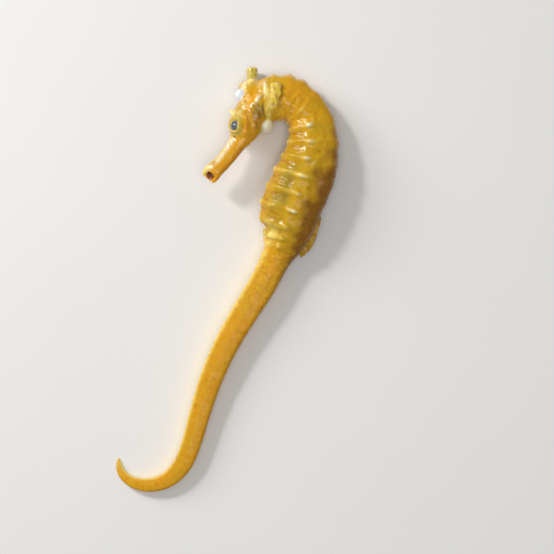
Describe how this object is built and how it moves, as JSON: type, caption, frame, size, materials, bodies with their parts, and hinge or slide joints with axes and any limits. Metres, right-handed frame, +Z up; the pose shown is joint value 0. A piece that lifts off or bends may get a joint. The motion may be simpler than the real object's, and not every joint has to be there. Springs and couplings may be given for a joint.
{
  "type": "life-size yellow seahorse model",
  "caption": "Still life-size model of a yellow seahorse lying on its side, with bowed head, tube snout, ringed trunk and a tail curled at the tip.",
  "frame": {"origin": "middle of the overall box, on the floor it lies on", "axes": "+Y from the tail to the crown of the head, +X from the snout's side to the back, +Z up from the floor to the left flank"},
  "size_m": [0.0899, 0.1707, 0.018],
  "materials": {
    "yellow_skin": "wet gloss over small bony plates",
    "tail_skin": "wet gloss, almost smooth",
    "pale_plate": "wet gloss",
    "fin_film": "thin wet film over rays",
    "eye_dark": "clear wet gloss"
  },
  "bodies": {
    "root": {"anal_fin": "fin_film", "belly": "yellow_skin", "chest": "yellow_skin", "coronet": "pale_plate", "dorsal_fin": "fin_film", "eye_left": "eye_dark", "eye_right": "eye_dark", "gill_cover_left": "yellow_skin", "gill_cover_right": "yellow_skin", "head": "yellow_skin", "hip": "yellow_skin", "nape": "yellow_skin", "neck": "yellow_skin", "pectoral_fin_left": "fin_film", "pectoral_fin_right": "fin_film", "shoulder_ring": "pale_plate", "snout": "yellow_skin", "tail_1": "tail_skin", "tail_2": "tail_skin", "tail_3": "tail_skin", "tail_4": "tail_skin", "tail_5": "tail_skin", "tail_6": "tail_skin", "tail_7": "tail_skin", "tail_8": "tail_skin"}
  },
  "joints": []
}
